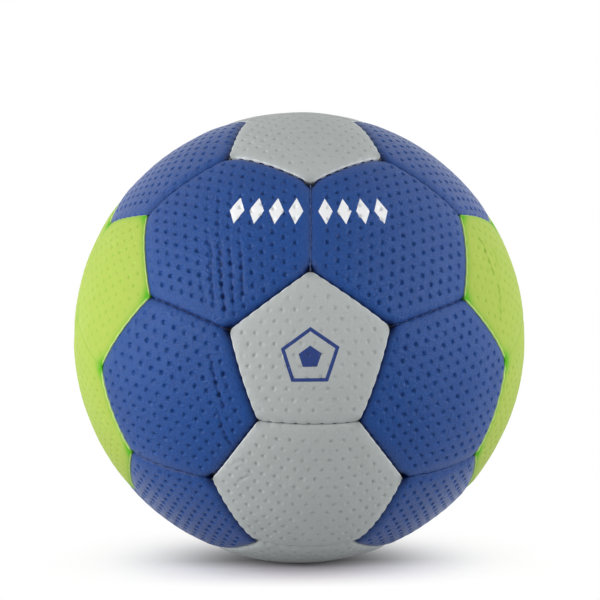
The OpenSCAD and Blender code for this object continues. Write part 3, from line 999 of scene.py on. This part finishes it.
# Seams whose thread lies close under the surface: where it starts and ends, its depth in mm and how pale it is
LOOSE_SEAMS = {
    ("hexagon_front_upper_left", "hexagon_front_upper_right"): (-0.97, 0.97, 1.15, 1.0),
    ("hexagon_front_left", "hexagon_front_upper_left"): (-0.95, 0.95, 1.05, 0.0),
    ("hexagon_front_right", "hexagon_front_upper_right"): (-0.95, 0.95, 1.20, 0.0),
    ("hexagon_front_left", "pentagon_lower_left"): (-0.6, 0.95, 0.95, 0.4),
}


def seam_path(axes, along, depth, across):
    """Points by distance along a seam, depth below the ball's surface and height over its plane."""
    along, depth, across = np.broadcast_arrays(along, depth, across)
    turn = along / BALL_R
    out = np.cos(turn)[:, None] * axes[0] + np.sin(turn)[:, None] * axes[1]
    return out * (BALL_R - depth)[:, None] + across[:, None] * axes[2]


def sew(strands, middle, normal, rng):
    """One seam's thread: a run along each hem, and a stitch and a dash at each hole."""
    axes = (middle, np.cross(normal, middle), normal)
    (name, colour), (other_name, other) = panel_beyond(middle, normal), panel_beyond(middle, -normal)
    shift = -overlap(name, colour, other_name, other)
    half = LAST_STITCH * STITCH_PITCH
    run_at = SEAM_GAP / 2 + HEM_T + THREAD_R

    def lay(along, depth, across, *look):
        strands.add(seam_path(axes, along, depth, shift + across), *look)

    s = np.linspace(-half - RUN_PAST_END, half + RUN_PAST_END, RUN_SAMPLES)
    for side in (-1, 1):
        wave = RUN_WAVE * np.cos(2 * pi * s / STITCH_PITCH)
        lay(s, STITCH_DEPTH, side * (run_at + wave), THREAD_R * 0.8, 0.9)
    for k in range(STITCHES):
        at = (k - LAST_STITCH) * STITCH_PITCH
        lay(at, STITCH_DEPTH, np.linspace(-run_at, run_at, STITCH_SAMPLES), THREAD_R, 0.7)
        t = np.linspace(-1, 1, DASH_SAMPLES)
        reach = rng.uniform(*DASH_REACH) * MM
        lean = rng.uniform(*DASH_LEAN) * MM * (1 if k % 2 else -1)
        depth = (DASH_DEPTH + DASH_DIP * np.abs(t) ** 3 + rng.uniform(-0.1, 0.1)) * MM
        lay(at + reach * t, depth, lean * t, DASH_R, 0.8)
    seam = (min(name, other_name), max(name, other_name))
    if seam in LOOSE_SEAMS:
        start, end, depth, pale = LOOSE_SEAMS[seam]
        s = np.linspace(start * SEAM_HALF, end * SEAM_HALF, LOOSE_SAMPLES) * BALL_R
        wave = LOOSE_WAVE * np.cos(2 * pi * s / STITCH_PITCH)
        drop = depth * MM + wave + LOOSE_DIP * (np.abs(s) / (SEAM_HALF * BALL_R)) ** 12
        # The pale share: a loose thread's paler yarn, and on the dark ones short painted glints
        pale_and_glint = pale * (0.7 + 0.3 * np.sin(2.9 * s / MM))
        pale_and_glint = pale_and_glint + 0.6 * (1 - pale) * np.maximum(np.sin(1.7 * s / MM), 0) ** 8
        lay(s, drop, LOOSE_SWAY * np.sin(5.2 * s / STITCH_PITCH), LOOSE_R, 0.8, pale_and_glint)


def make_thread():
    half = [FRONT, TOP, LEFT, LOW_LEFT, LOW_RIGHT, RIGHT]
    rng = np.random.default_rng(5)
    between_hexagons, round_pentagons = Strands(), Strands()
    for a, b in combinations(half + [-axis for axis in half], 2):
        if a @ b > 0.4:
            sew(between_hexagons, unit(a + b), unit(np.cross(a, b)), rng)
    outline = Outline(5)
    for name, panel_axes, _ in PANELS:
        if len(panel_axes) == 2:
            turned = panel_frame(panel_axes)
            for i in range(5):
                sew(round_pentagons, turned @ outline.mids[:, i], turned @ outline.normals[:, i], rng)
    made_of = {"thread_hexagon_seams": between_hexagons, "thread_pentagon_seams": round_pentagons}
    for node_name, strands in made_of.items():
        verts, faces, pale = strands.arrays()
        made = mesh_object("stitched_" + node_name, verts, faces, [THREAD], pale=pale)
        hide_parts(node_name)
        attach(made, "root")


def make_linings():
    """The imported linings, shifted with the cover that they are glued to."""
    for name in [name for name in frame["nodes"] if name.startswith("lining")]:
        mesh = frame["nodes"][name].data.copy()
        verts = np.empty(3 * len(mesh.vertices), np.float32)
        mesh.vertices.foreach_get("co", verts)
        mesh.vertices.foreach_set("co", SEWING.apply(verts.reshape(-1, 3)).astype(np.float32).ravel())
        mesh.materials.clear()
        mesh.materials.append(LINING)
        made = new_object("glued_" + name, mesh)
        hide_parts(name)
        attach(made, "root")


def dress_cad_nodes():
    """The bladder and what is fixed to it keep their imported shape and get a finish."""
    looks = {"bladder": BLADDER, "valve_core": CORE}
    looks.update(dict.fromkeys(("balance_patch", "valve_body", "valve_patch"), VALVE))
    for name, look in looks.items():
        made = frame["nodes"][name]
        made.data.materials.clear()
        made.data.materials.append(look)


# The photograph's view, found from the corners of the panels
CAMERA_FROM = np.array([-0.0464, -0.9962, 0.0731])
CAMERA_RADII = 11.86
FOCAL_PX = 2665.0
IMAGE_PX = 600
BALL_AT_PX = (299.3, 337.3)
SENSOR_MM = 36.0


def make_camera():
    camera = new_object("camera", bpy.data.cameras.new("camera"))
    away = unit(CAMERA_FROM)
    place = away * BALL_R * CAMERA_RADII
    right = unit(np.cross(-away, (0, 0, 1)))
    up = np.cross(right, -away)
    per_px = BALL_R * CAMERA_RADII / FOCAL_PX
    target = (IMAGE_PX / 2 - BALL_AT_PX[0]) * per_px * right + (BALL_AT_PX[1] - IMAGE_PX / 2) * per_px * up
    camera.location = place
    camera.rotation_mode = "QUATERNION"
    camera.rotation_quaternion = Vector(target - place).to_track_quat("-Z", "Y")
    camera.data.sensor_width = SENSOR_MM
    camera.data.lens = FOCAL_PX / IMAGE_PX * SENSOR_MM
    bpy.context.scene.camera = camera


# Each light's name, place, size and power
LIGHTS = (
    ("left_box", (-1.1, -0.35, 0.60), (0.9, 1.3), 6.6),
    ("right_box", (1.1, -0.35, 0.60), (0.9, 1.3), 9.8),
    ("low_left_box", (-1.25, -0.45, 0.10), (0.7, 0.5), 13.8),
    ("low_right_box", (1.25, -0.45, 0.10), (0.7, 0.5), 6.8),
    ("spark", (-0.45, -1.05, 0.90), (0.25, 0.25), 0.8),
    ("back_left_box", (-0.95, 0.80, 0.50), (0.8, 1.0), 1.0),
    ("back_right_box", (0.95, 0.80, 0.50), (0.8, 1.0), 0.8),
)
FILL_LIGHT = 0.2


def make_lights():
    for name, place, size, power in LIGHTS:
        lamp = bpy.data.lights.new(name, "AREA")
        lamp.shape, lamp.size, lamp.size_y = "RECTANGLE", *size
        lamp.energy = power
        made = new_object(name, lamp)
        made.location = place
        made.rotation_mode = "QUATERNION"
        made.rotation_quaternion = (-Vector(place)).to_track_quat("-Z", "Y")


def seen_only(tree):
    """1 for rays that show the background: direct, reflected or through glass."""
    path = tree.node("LightPath").outputs
    direct = tree.maths("MAXIMUM", path["Is Camera Ray"], path["Is Glossy Ray"])
    return tree.maths("MAXIMUM", direct, path["Is Transmission Ray"])


def make_world():
    world = bpy.data.worlds.new("studio")
    bpy.context.scene.world = world
    tree = Tree(world)
    fill = tree.nodes["Background"]
    tree.feed(fill, {"Color": (1, 1, 1, 1), "Strength": FILL_LIGHT})
    white = tree.node("Background", {"Color": (1, 1, 1, 1), "Strength": 1.0})
    mixed = tree.mix_shaders(seen_only(tree), fill, white)
    tree.feed(tree.nodes["World Output"], {"Surface": mixed.outputs[0]})


# The floor's painted shadow: tints under the ball, in front of it and farther out, and where they blend
FLOOR_HALF = 6.0
FLOOR_MATT = (0.7, 0.7, 0.7, 1)
FLOOR_SHADOW_UNDER = (0.04, 0.04, 0.05, 1)
FLOOR_SHADOW_FRONT = (0.395, 0.37, 0.415, 1)
FLOOR_OUTER = (0.79, 0.77, 0.73, 1)
FLOOR_SQUEEZE = (1, 0.95, 1)
FRONT_REACH = -0.019
TINT_REACH = (0.021, 0.085)
WHITE_REACH = (0.0, 0.108)


def make_floor():
    """A pale floor that shows white round the ball, keeps its shadow and adds a painted shadow close to it."""
    corners = FLOOR_HALF * np.array([(-1, -1, 0), (1, -1, 0), (1, 1, 0), (-1, 1, 0)]) - (0, 0, BALL_R)
    tree = Tree(bpy.data.materials.new("floor"))
    floor = mesh_object("floor", corners, [np.array([[0, 1, 2, 3]])], [tree.owner], smooth_faces=False)
    tree.nodes.remove(tree.nodes["Principled BSDF"])
    place = tree.place()
    squeezed = tree.node("VectorMath", {0: place, 1: FLOOR_SQUEEZE}, operation="MULTIPLY").outputs["Vector"]
    away = tree.node("VectorMath", {0: squeezed, 1: (0, 0, -BALL_R)}, operation="DISTANCE").outputs["Value"]
    before = tree.span(tree.node("SeparateXYZ", {"Vector": place}).outputs["Y"], 0.0, FRONT_REACH)
    out = tree.span(away, *TINT_REACH, interpolation_type="SMOOTHSTEP")
    # Painted shadow: a tint that darkens the floor most under the ball and in front of it
    tint = tree.mix(out, tree.mix(before, FLOOR_SHADOW_UNDER, FLOOR_SHADOW_FRONT), FLOOR_OUTER)
    bright = tree.node("BsdfDiffuse", {"Color": tint})
    twice = tree.node("AddShader", {0: bright.outputs[0], 1: bright.outputs[0]})
    white = tree.node("Emission", {"Color": (1, 1, 1, 1), "Strength": 1.0})
    shown = tree.mix_shaders(tree.span(away, *WHITE_REACH, interpolation_type="SMOOTHSTEP"), twice, white)
    matt = tree.node("BsdfDiffuse", {"Color": FLOOR_MATT})
    mixed = tree.mix_shaders(seen_only(tree), matt, shown)
    tree.feed(tree.nodes["Material Output"], {"Surface": mixed.outputs[0]})


make_camera()
make_panels()
make_thread()
make_linings()
dress_cad_nodes()
make_lights()
make_world()
make_floor()
bpy.context.scene.view_settings.view_transform = "Standard"
